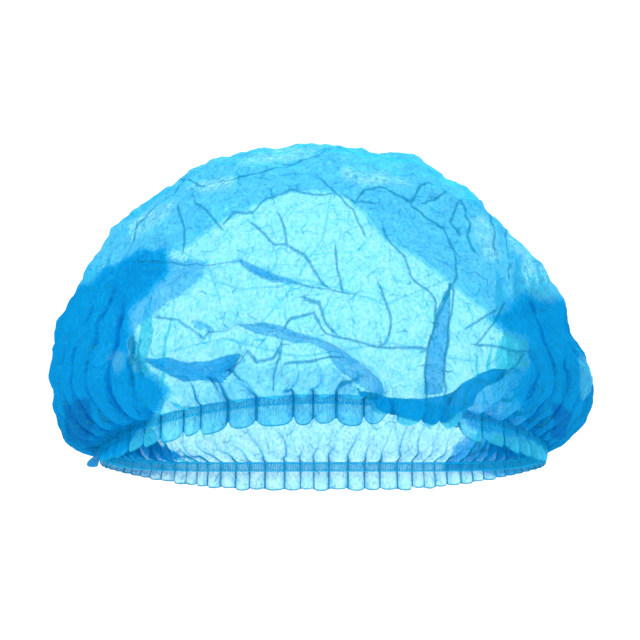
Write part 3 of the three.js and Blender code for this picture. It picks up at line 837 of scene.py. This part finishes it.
def tilt_plies(piece, smooth):
    """More cloth is looked through where it stands on edge: how many plies more, at each point."""
    normal = np.empty(len(smooth) * 3, np.float32)
    piece.data.vertex_normals.foreach_get("vector", normal)
    cosine = np.abs((normal.reshape(-1, 3) * smooth).sum(-1))
    return TILT_PLIES * (1 / np.maximum(cosine, TILT_LEAST) - 1)


def make_crown():
    """The whole cloth as one open sheet, with all that its material reads."""
    points, counts, cloth = crown_cloth()
    crown = new_piece("crown_cloth", points, crown_faces(counts))
    for name in ("crease_line", "crease_near", "zone_edge", "zone_more", "zone_line", "valley_near"):
        keep(crown, name, cloth[name])
    keep(crown, "gather", np.stack([cloth["phase"], cloth["height"], cloth["edge"]], 1))
    keep(crown, "plies", 1 + tilt_plies(crown, cloth["normal"]))
    flatten(crown, cloth["azimuth"], cloth["height"])
    return crown


class Nodes:
    """Short calls for building a material's nodes."""

    def __init__(self, name):
        self.material = bpy.data.materials.new(name)
        self.material.use_nodes = True
        self.tree = self.material.node_tree
        self.tree.nodes.clear()

    def add(self, kind, inputs=(), **settings):
        """A node with the values or links of its inputs, and its settings."""
        node = self.tree.nodes.new(kind)
        for key, value in settings.items():
            setattr(node, key, value)
        for key, value in dict(inputs).items():
            self.put(node.inputs[key], value)
        return node

    def put(self, socket, value):
        if isinstance(value, bpy.types.NodeSocket):
            self.tree.links.new(value, socket)
        elif socket.type == "RGBA":
            socket.default_value = (*value, 1)
        else:
            socket.default_value = value

    def math(self, operation, *values, clamp=False):
        node = self.add("ShaderNodeMath", operation=operation, use_clamp=clamp)
        for socket, value in zip(node.inputs, values):
            self.put(socket, value)
        return node.outputs[0]

    def chain(self, operation, values):
        total = values[0]
        for value in values[1:]:
            total = self.math(operation, total, value)
        return total

    def times(self, *values):
        return self.chain("MULTIPLY", values)

    def most(self, *values):
        return self.chain("MAXIMUM", values)

    def total(self, *pairs):
        """The sum of sockets, each times its weight."""
        total = 0.0
        for value, weight in pairs:
            total = self.math("MULTIPLY_ADD", value, weight, total)
        return total

    def above(self, value, low, high):
        """0 below low, 1 above high, eased between."""
        node = self.add("ShaderNodeMapRange", {"Value": value, "From Min": low, "From Max": high},
                        interpolation_type="SMOOTHSTEP", clamp=True)
        return node.outputs["Result"]

    def below(self, value, low, high):
        return self.math("SUBTRACT", 1.0, self.above(value, low, high))

    def line_at(self, value, half_width, soft):
        """1 on a line where value is 0, falling to 0 beyond half_width."""
        return self.below(self.math("ABSOLUTE", value), half_width, half_width + soft)

    def turn(self, value):
        """How far value is past the middle between two whole numbers."""
        return self.math("SUBTRACT", self.math("FRACT", value), 0.5)

    def mix(self, share, low, high):
        node = self.add("ShaderNodeMix", data_type="RGBA")
        self.put(node.inputs["Factor"], share)
        self.put(node.inputs["A"], low)
        self.put(node.inputs["B"], high)
        return node.outputs["Result"]

    def ramp(self, value, stops):
        node = self.add("ShaderNodeValToRGB", {"Fac": value})
        elements = node.color_ramp.elements
        while len(elements) < len(stops):
            elements.new(0.5)
        for element, (position, colour) in zip(elements, stops):
            element.position = position
            element.color = (*colour, 1)
        return node.outputs["Color"]

    def kept_number(self, name):
        return self.add("ShaderNodeAttribute", attribute_name=name).outputs["Fac"]

    def kept_vector(self, name):
        """The three parts of a vector that is kept for each point of the mesh."""
        vector = self.add("ShaderNodeAttribute", attribute_name=name).outputs["Vector"]
        return self.add("ShaderNodeSeparateXYZ", {"Vector": vector}).outputs

    def place(self):
        return self.add("ShaderNodeTexCoord").outputs["Object"]

    def noise(self, place, size, detail, **settings):
        inputs = {"Vector": place, "Scale": 1 / size, "Detail": detail}
        return self.add("ShaderNodeTexNoise", inputs, **settings).outputs["Fac"]

    def flat_noise(self, place, size, detail):
        return self.noise(place, size, detail, noise_dimensions="2D")

    def flat_cracks(self, place, size):
        node = self.add("ShaderNodeTexVoronoi", {"Vector": place, "Scale": 1 / size},
                        voronoi_dimensions="2D", feature="DISTANCE_TO_EDGE")
        return node.outputs["Distance"]

    def relief(self, height, strength, distance):
        inputs = {"Height": height, "Strength": strength, "Distance": distance}
        return self.add("ShaderNodeBump", inputs).outputs[0]

    def shader(self, kind, **inputs):
        return self.add("ShaderNodeBsdf" + kind, inputs).outputs[0]

    def blend(self, share, low, high):
        """Two shaders mixed: share of high, the rest low."""
        node = self.add("ShaderNodeMixShader", {"Fac": share})
        self.put(node.inputs[1], low)
        self.put(node.inputs[2], high)
        return node.outputs[0]

    def finish(self, surface):
        self.add("ShaderNodeOutputMaterial", {"Surface": surface})
        return self.material


def fibre_texture(n, flat):
    """Its clouds, its mottle, its fine fibres, and the bond points pressed into them."""
    bonds = n.add("ShaderNodeTexVoronoi", {"Vector": flat, "Scale": 1 / BOND_PITCH, "Randomness": 0.5},
                  voronoi_dimensions="2D")
    return (n.flat_noise(flat, CLOUD_SIZE, 3), n.flat_noise(flat, MOTTLE_SIZE, 2),
            n.flat_noise(flat, FIBRE_SIZE, 1), n.below(bonds.outputs["Distance"], 0.2, 0.36))


def zone_plies(n, mottle):
    """How many plies there are, zones and all, a line along sharp edges, and where fibres are parted."""
    edge, more, lined = (n.kept_vector(name) for name in ("zone_edge", "zone_more", "zone_line"))
    plies, rim_line, parted = n.kept_number("plies"), 0.0, 0.0
    shake = n.times(n.math("SUBTRACT", mottle, 0.5), 0.4)
    for i in range(GROUPS):
        distance = n.math("ADD", edge[i], shake)
        inside = n.above(distance, -0.35, 0.45)
        plies = n.math("MULTIPLY_ADD", inside, more[i], plies)
        parted = n.most(parted, n.times(inside, n.above(more[i], -0.2, -1.0)))
        side = n.times(n.line_at(distance, 0.05, 0.55), n.above(more[i], 0.5, 3.0), lined[i])
        rim_line = n.most(rim_line, side)
    return plies, rim_line, parted


def crease_shade_lines(n):
    """Painted shade: thin dark lines along the folds and creases."""
    line, near = n.kept_vector("crease_line"), n.kept_vector("crease_near")
    drawn = 0.0
    for i in range(GROUPS):
        drawn = n.most(drawn, n.times(n.line_at(line[i], 0.1, 0.9), near[i]))
    return drawn


def small_creases(n, flat, cloud):
    """Two sizes of small creases all over, that come and go, after the webs that they run in. Their lines
    are painted shade; the webs also give relief.
    """
    shift = n.add("ShaderNodeTexNoise", {"Vector": flat, "Scale": 1 / WARP_SIZE, "Detail": 1.0},
                  noise_dimensions="2D")
    bent = n.add("ShaderNodeVectorMath", operation="MULTIPLY_ADD")
    for socket, value in zip(bent.inputs, (shift.outputs["Color"], (WARP, WARP, 0), flat)):
        n.put(socket, value)
    web = n.flat_cracks(bent.outputs[0], WEB_SIZE)
    fine_web = n.flat_cracks(bent.outputs[0], FINE_WEB_SIZE)
    small = n.times(n.below(web, 0, 0.028), n.above(cloud, 0.45, 0.6))
    smaller = n.times(n.below(fine_web, 0, 0.05), n.above(shift.outputs["Fac"], 0.5, 0.62))
    return web, fine_web, small, smaller


def band_lines(n, phase, height):
    """Over the elastic: the band, its two rows of stitches, and the tiny gathers that they make."""
    away = n.math("ABSOLUTE", height)
    row = n.line_at(n.math("SUBTRACT", away, ROW_HEIGHT), 0.25, 0.4)
    tiny = n.line_at(n.turn(n.times(phase, TINY_GATHERS)), 0.08, 0.2)
    return n.below(away, 2.6, 3.2), row, n.times(tiny, n.below(away, 3.5, 7.5))


def nonwoven_material():
    """Thin spunbond: fibres and open pores, denser where plies lie together, with painted shade along
    creases and gather valleys.
    """
    n = Nodes("blue_nonwoven")
    flat = n.add("ShaderNodeUVMap", uv_map="flat_cloth").outputs["UV"]
    phase, height, edge = n.kept_vector("gather")
    cloud, mottle, fibre, bond = fibre_texture(n, flat)
    plies, rim_line, parted = zone_plies(n, mottle)
    drawn = crease_shade_lines(n)
    web, fine_web, small, smaller = small_creases(n, flat, cloud)
    # Valleys of the gathers, whose widths are shares of a gather: a dark line and the shade to both
    # sides, painted as more plies and a darker tone
    valley_near = n.kept_number("valley_near")
    valley = n.times(n.line_at(n.turn(phase), 0.02, 0.05), valley_near)
    valley_shade = n.times(n.line_at(n.turn(phase), 0.03, 0.22), valley_near)
    in_band, row, tiny = band_lines(n, phase, height)
    cut = n.below(edge, 0.35, 1.0)
    in_hem = n.below(height, -2.9, -2.3)

    # How dense the cloth is: how many plies each of these counts for. On the crease lines, small creases,
    # gather valleys and tiny gathers these plies are painted shade.
    total = n.total(
        (plies, 1.0), (rim_line, 1.2), (drawn, 2.6), (small, 1.9), (smaller, 1.1), (valley, 4.0),
        (valley_shade, 0.9), (in_band, 0.1), (row, 0.6), (tiny, 0.6), (cut, 3.0), (in_hem, 0.5))
    # The fibres show more with more plies, and where they are parted
    texture = n.total((cloud, 0.9), (mottle, 1.45), (fibre, 0.9), (bond, -0.2))
    texture = n.times(n.math("ADD", TEXTURE_MIDDLE, texture),
                      n.math("SQRT", n.math("MINIMUM", total, 2.5)),
                      n.math("MULTIPLY_ADD", parted, 1.2, 1.0))
    total = n.most(n.math("MULTIPLY_ADD", total, 0.86, texture), LEAST_PLIES)
    cover = n.math("SUBTRACT", 1.0, n.math("POWER", PLY_OPEN_SHARE, total), clamp=True)

    # Colour: darker with more plies, and with painted shade along creases, small creases and gather
    # valleys; greyer where fibres are parted
    deep = n.math("DIVIDE", n.math("SUBTRACT", total, 0.9), 11.0, clamp=True)
    dark = n.most(deep, n.times(drawn, 0.3), n.times(valley, 0.25), n.times(small, 0.16))
    speck = n.times(n.above(mottle, 0.56, 0.72), 0.35)
    # Painted shade along creases and gather valleys, together with the zones' and hem's edge lines and
    # the fibres' specks, pulls the tone towards the line colour
    darker_lines_and_specks = n.total(
        (drawn, 0.6), (valley, 0.6), (small, 0.55), (cut, 0.6), (rim_line, 0.35), (speck, 1.0))
    darker_lines_and_specks = n.math("MINIMUM", darker_lines_and_specks, 0.75)
    greyer = n.times(parted, n.above(mottle, 0.42, 0.6), 0.55)
    tones = []
    for stops, parted_tone, line_tone in (PASSED_TONES, SENT_BACK_TONES):
        tone = n.mix(greyer, n.ramp(dark, stops), parted_tone)
        tones.append(n.mix(darker_lines_and_specks, tone, line_tone))

    lift = n.total(
        (n.math("MINIMUM", web, 0.2), 2.6), (n.math("MINIMUM", fine_web, 0.25), 1.2), (mottle, 0.5),
        (bond, -0.12), (drawn, -0.8), (tiny, -0.4), (valley, -0.5))
    relief = n.relief(lift, 1.0, CLOTH_RELIEF)
    through = n.shader("Translucent", Color=tones[0], Normal=relief)
    diffuse = n.shader("Diffuse", Color=tones[1], Normal=relief)
    fibres = n.blend(n.math("MULTIPLY_ADD", deep, 0.5, 0.3, clamp=True), through, diffuse)
    sheen = n.shader("Anisotropic", Color=SHEEN_TONE, Roughness=0.42, Normal=relief)
    waxed = n.blend(SHEEN_SHARE, fibres, sheen)
    return n.finish(n.blend(cover, n.shader("Transparent", Color=PORE_TONE), waxed))


def rim_run(on_back, step):
    """Azimuths along one half of the rim, from tab to tab, and the distance along it of each."""
    start, stop = END_ANGLE, HALF_TURN - END_ANGLE
    close = np.linspace(start, stop, RUN_POINTS)
    across = np.stack([np.cos(close) * RIM_WIDTH / 2, np.sin(close) * RIM_DEPTH / 2], -1)
    along = np.concatenate([[0], np.cumsum(np.linalg.norm(np.diff(across, axis=0), axis=1))])
    even = np.linspace(0, along[-1], int(along[-1] / step) + 1)
    azimuth = np.interp(even, along, close)
    return (azimuth if on_back else azimuth - HALF_TURN), even


def make_strip(name, on_back):
    """A flat elastic, thicker along its two edges where the thread binds it, finely ribbed between."""
    azimuth, along = rim_run(on_back, STRIP_STEP)
    rib = RIB_HEIGHT * np.sin(along / RIB_PITCH * 2 * HALF_TURN)
    wave = GATHER_AT_BAND * STRIP_WAVE * gather_lobe(gather_phase(azimuth))
    section = [(height, thick, 1) for height, thick in STRIP_PROFILE]
    section += [(height, thick, -1) for height, thick in reversed(STRIP_PROFILE)]
    points, strip = [], []
    for height, thick, side in section:
        offset = STRIP_OFFSET + side * (thick / 2 + rib * (abs(height) < RIBS_TO)) + wave
        points.append(frill_place(azimuth, -height, offset)[0])
        strip.append(np.stack([along, np.full(len(along), float(height)), np.zeros(len(along))], 1))
    stations, sides = len(azimuth), len(section)
    faces = []
    for i in range(sides):
        row, ahead = i * stations, (i + 1) % sides * stations
        for k in range(stations - 1):
            faces.append((row + k, row + k + 1, ahead + k + 1, ahead + k))
    faces.append([i * stations for i in range(sides)])
    faces.append([i * stations + stations - 1 for i in reversed(range(sides))])
    piece = new_piece(name, np.concatenate(points), faces)
    keep(piece, "strip", np.concatenate(strip))
    return piece


def thread_run(azimuth, height, outside):
    """Points of a thread that follows the band, on the cloth outside or on the elastic inside."""
    on_cloth = GATHER_AT_BAND * gather_lobe(gather_phase(azimuth)) + THREAD_RADIUS
    offset = on_cloth if outside else STRIP_OFFSET - INNER_THREAD
    return frill_place(azimuth, -height, offset)[0]


def to_and_fro(run):
    """1 and -1 by turns, one for each place of a run."""
    return np.where(np.arange(len(run)) % 2 == 0, 1, -1)


def make_stitching(name, on_back):
    """The overlock: two rows of needle thread on each face, and a thread that zigzags between them."""
    even, _ = rim_run(on_back, NEEDLE_STEP)
    turns, _ = rim_run(on_back, STITCH_PITCH / 2)
    runs = []
    for outside in (True, False):
        for height in (ROW_HEIGHT, -ROW_HEIGHT):
            runs.append(thread_run(even, height + NEEDLE_SWAY * to_and_fro(even), outside))
        runs.append(thread_run(turns, ROW_HEIGHT * to_and_fro(turns), outside))
    bpy.ops.curve.primitive_nurbs_path_add()
    piece = bpy.context.object
    piece.name = name
    curve = piece.data
    curve.splines.clear()
    for run in runs:
        spline = curve.splines.new("POLY")
        spline.points.add(len(run) - 1)
        spline.points.foreach_set("co", np.concatenate([run * MM, np.ones((len(run), 1))], 1).ravel())
    curve.dimensions = "3D"
    curve.bevel_depth = THREAD_RADIUS * MM
    curve.bevel_resolution = 1
    curve.use_fill_caps = True
    bpy.ops.object.convert(target="MESH")
    bpy.ops.object.shade_smooth()
    piece.select_set(False)
    return piece


def select_vertices(piece, wanted):
    """In edit mode, selects the vertices at the places that wanted, a test of x, y, z, picks."""
    bpy.ops.object.mode_set(mode="OBJECT")
    for vertex in piece.data.vertices:
        vertex.select = bool(wanted(*vertex.co))
    bpy.ops.object.mode_set(mode="EDIT")


def make_fused_end(name, side, hang, lean_share):
    """The pleated end of the cloth, fused: ribbed, tapering downwards to a rounded knob.

    hang and lean_share are how much of its full drop below the band and of its lean it has.
    """
    bpy.ops.mesh.primitive_grid_add(x_subdivisions=1, y_subdivisions=2 * END_RIBS, size=1)
    piece = bpy.context.object
    piece.name = name
    top, width, thick, _ = FUSED_ROWS[0]
    middle = RIM_WIDTH / 2 - FUSED_INSET
    piece.scale = (thick * MM, width * MM, 1)
    piece.location = (side * middle * MM, 0, (rim_height(0.0) - top) * MM)
    bpy.ops.object.transform_apply(location=True, rotation=True, scale=True)
    bpy.ops.object.mode_set(mode="EDIT")
    bpy.ops.mesh.select_mode(type="VERT")
    rib = width / (2 * END_RIBS) * MM
    select_vertices(piece, lambda x, y, z: round(y / rib) % 2)
    bpy.ops.transform.translate(value=(side * RIB_DEPTH * MM, 0, 0))
    bpy.ops.mesh.select_all(action="SELECT")
    rows = [(drop * (hang if drop > 0 else 1), wide, thick, lean * lean_share)
            for drop, wide, thick, lean in FUSED_ROWS]
    for (drop, wide, thick, lean), row in zip(rows[:-1], rows[1:]):
        down = (side * (row[3] - lean) * MM, 0, (drop - row[0]) * MM)
        bpy.ops.mesh.extrude_region_move(TRANSFORM_OT_translate={"value": down})
        centre = (side * (middle + row[3]) * MM, 0, (rim_height(0.0) - row[0]) * MM)
        bpy.ops.transform.resize(value=(row[2] / thick, row[1] / wide, 1), center_override=centre)
    bpy.ops.mesh.select_all(action="SELECT")
    bpy.ops.mesh.normals_make_consistent(inside=False)
    bpy.ops.object.mode_set(mode="OBJECT")
    rounded = piece.modifiers.new("rounded", "SUBSURF")
    rounded.levels = 2
    bpy.ops.object.modifier_apply(modifier=rounded.name)
    bpy.ops.object.shade_smooth()
    piece.select_set(False)
    return piece


def elastic_material():
    """Thin ribbed elastic, a little see-through, with fine cords across and darker edges."""
    n = Nodes("elastic_webbing")
    along, height, _ = n.kept_vector("strip")
    speck = n.noise(n.place(), ELASTIC_SPECK, 2)
    cord = n.line_at(n.turn(n.math("DIVIDE", along, RIB_PITCH)), 0.1, 0.3)
    rim = n.above(n.math("ABSOLUTE", height), 1.9, 2.3)
    dark = n.most(n.times(cord, 0.4), n.times(rim, 0.45))
    dark = n.math("MULTIPLY_ADD", n.math("SUBTRACT", speck, 0.5), 0.9, dark)
    paint = n.mix(dark, *ELASTIC_TONES)
    relief = n.relief(cord, 0.7, ELASTIC_RELIEF)
    woven = n.blend(0.7, n.shader("Diffuse", Color=paint, Normal=relief),
                    n.shader("Translucent", Color=paint, Normal=relief))
    cover = n.math("MULTIPLY_ADD", dark, 0.4, 0.4, clamp=True)
    return n.finish(n.blend(cover, n.shader("Transparent"), woven))


def thread_material():
    """Spun thread with a fine twist."""
    n = Nodes("blue_thread")
    twist = n.add("ShaderNodeTexWave", {"Vector": n.place(), "Scale": TWIST_SCALE, "Distortion": 2},
                  bands_direction="DIAGONAL")
    paint = n.mix(twist.outputs["Fac"], *THREAD_TONES)
    return n.finish(n.blend(0.5, n.shader("Diffuse", Color=paint), n.shader("Translucent", Color=paint)))


def fused_material():
    """Plies melted together: darker blue, a little glossy, faintly mottled."""
    n = Nodes("fused_plies")
    place = n.place()
    speck = n.noise(place, FUSED_SPECK, 3)
    cloud = n.noise(place, FUSED_CLOUD, 2)
    tone = n.above(n.math("ADD", n.times(speck, 0.5), n.times(cloud, 0.5)), 0.3, 0.7)
    plies = n.add("ShaderNodeBsdfPrincipled", {
        "Base Color": n.mix(tone, *FUSED_TONES), "Roughness": 0.5, "Specular IOR Level": 0.25,
        "Normal": n.relief(speck, 0.5, FUSED_RELIEF)})
    return n.finish(plies.outputs[0])


def aim_camera():
    """Level with the middle of the crown, straight from the front, as in the photo."""
    data = bpy.data.cameras.new("view")
    data.sensor_width = SENSOR_WIDTH
    data.lens = SENSOR_WIDTH * CAMERA_DISTANCE / SEEN_WIDTH
    camera = bpy.data.objects.new("view", data)
    camera.location = (SEEN_MIDDLE[0], -CAMERA_DISTANCE, SEEN_MIDDLE[1])
    camera.rotation_euler = (QUARTER_TURN, 0, 0)
    bpy.context.scene.collection.objects.link(camera)
    bpy.context.scene.camera = camera


def soft_light(name, place, size, power):
    """A square lamp, aimed at the middle of the part."""
    data = bpy.data.lights.new(name, "AREA")
    data.shape = "SQUARE"
    data.size = size
    data.energy = power
    lamp = bpy.data.objects.new(name, data)
    lamp.location = place
    aim = np.array(LIT_MIDDLE) - np.array(place)
    yaw = math.atan2(aim[1], aim[0]) - QUARTER_TURN
    pitch = math.atan2(math.hypot(aim[0], aim[1]), -aim[2])
    lamp.rotation_euler = (pitch, 0, yaw)
    bpy.context.scene.collection.objects.link(lamp)


def light_studio():
    """A bright white surround behind, and softer light on the cloth, so that its creases show."""
    world = bpy.data.worlds.new("studio")
    world.use_nodes = True
    tree = world.node_tree
    seen = tree.nodes["Background"]
    glow = tree.nodes.new("ShaderNodeBackground")
    for node, strength in ((seen, SEEN_WHITE), (glow, SURROUND)):
        node.inputs["Color"].default_value = (1, 1, 1, 1)
        node.inputs["Strength"].default_value = strength
    path = tree.nodes.new("ShaderNodeLightPath")
    either = tree.nodes.new("ShaderNodeMixShader")
    tree.links.new(path.outputs["Is Camera Ray"], either.inputs[0])
    tree.links.new(glow.outputs[0], either.inputs[1])
    tree.links.new(seen.outputs[0], either.inputs[2])
    tree.links.new(either.outputs[0], tree.nodes["World Output"].inputs["Surface"])
    bpy.context.scene.world = world
    for lamp in LAMPS:
        soft_light(*lamp)
    bpy.context.scene.view_settings.view_transform = "Standard"


def lay_floor():
    """A pale matt floor, below the part and out of the picture."""
    bpy.ops.mesh.primitive_plane_add(size=FLOOR_SIZE, location=(0, 0, FLOOR_HEIGHT))
    floor = bpy.context.object
    floor.name = "floor"
    n = Nodes("pale_floor")
    paint = n.mix(n.noise(n.place(), FLOOR_CLOUD, 2), *FLOOR_TONES)
    matt = n.add("ShaderNodeBsdfPrincipled", {"Base Color": paint, "Roughness": 0.9})
    floor.data.materials.append(n.finish(matt.outputs[0]))


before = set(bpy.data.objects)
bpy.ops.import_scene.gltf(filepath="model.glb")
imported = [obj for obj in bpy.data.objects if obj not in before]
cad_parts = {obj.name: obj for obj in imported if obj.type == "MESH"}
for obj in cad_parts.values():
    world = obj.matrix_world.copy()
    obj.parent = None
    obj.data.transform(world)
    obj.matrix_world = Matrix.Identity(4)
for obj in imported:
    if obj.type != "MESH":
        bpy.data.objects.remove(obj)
bpy.ops.object.select_all(action="DESELECT")
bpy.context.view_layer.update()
aim_camera()
light_studio()
lay_floor()

# Much of the light has many thin walls to pass
bpy.context.scene.cycles.transparent_max_bounces = 24
bpy.context.scene.cycles.diffuse_bounces = 3

crown = make_crown()
crown.data.materials.append(nonwoven_material())
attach(crown, "root")
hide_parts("crown")

elastic, thread, fused = elastic_material(), thread_material(), fused_material()
for half, on_back in (("front", False), ("back", True)):
    strip = make_strip("elastic_strip_" + half, on_back)
    strip.data.materials.append(elastic)
    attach(strip, "root")
    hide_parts("elastic_" + half)
    stitching = make_stitching("stitching_" + half, on_back)
    stitching.data.materials.append(thread)
    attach(stitching, "root")
for hand, side, hang, lean_share in FUSED_ENDS:
    fused_end = make_fused_end("fused_end_" + hand, side, hang, lean_share)
    fused_end.data.materials.append(fused)
    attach(fused_end, "root")
    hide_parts("end_tab_" + hand)
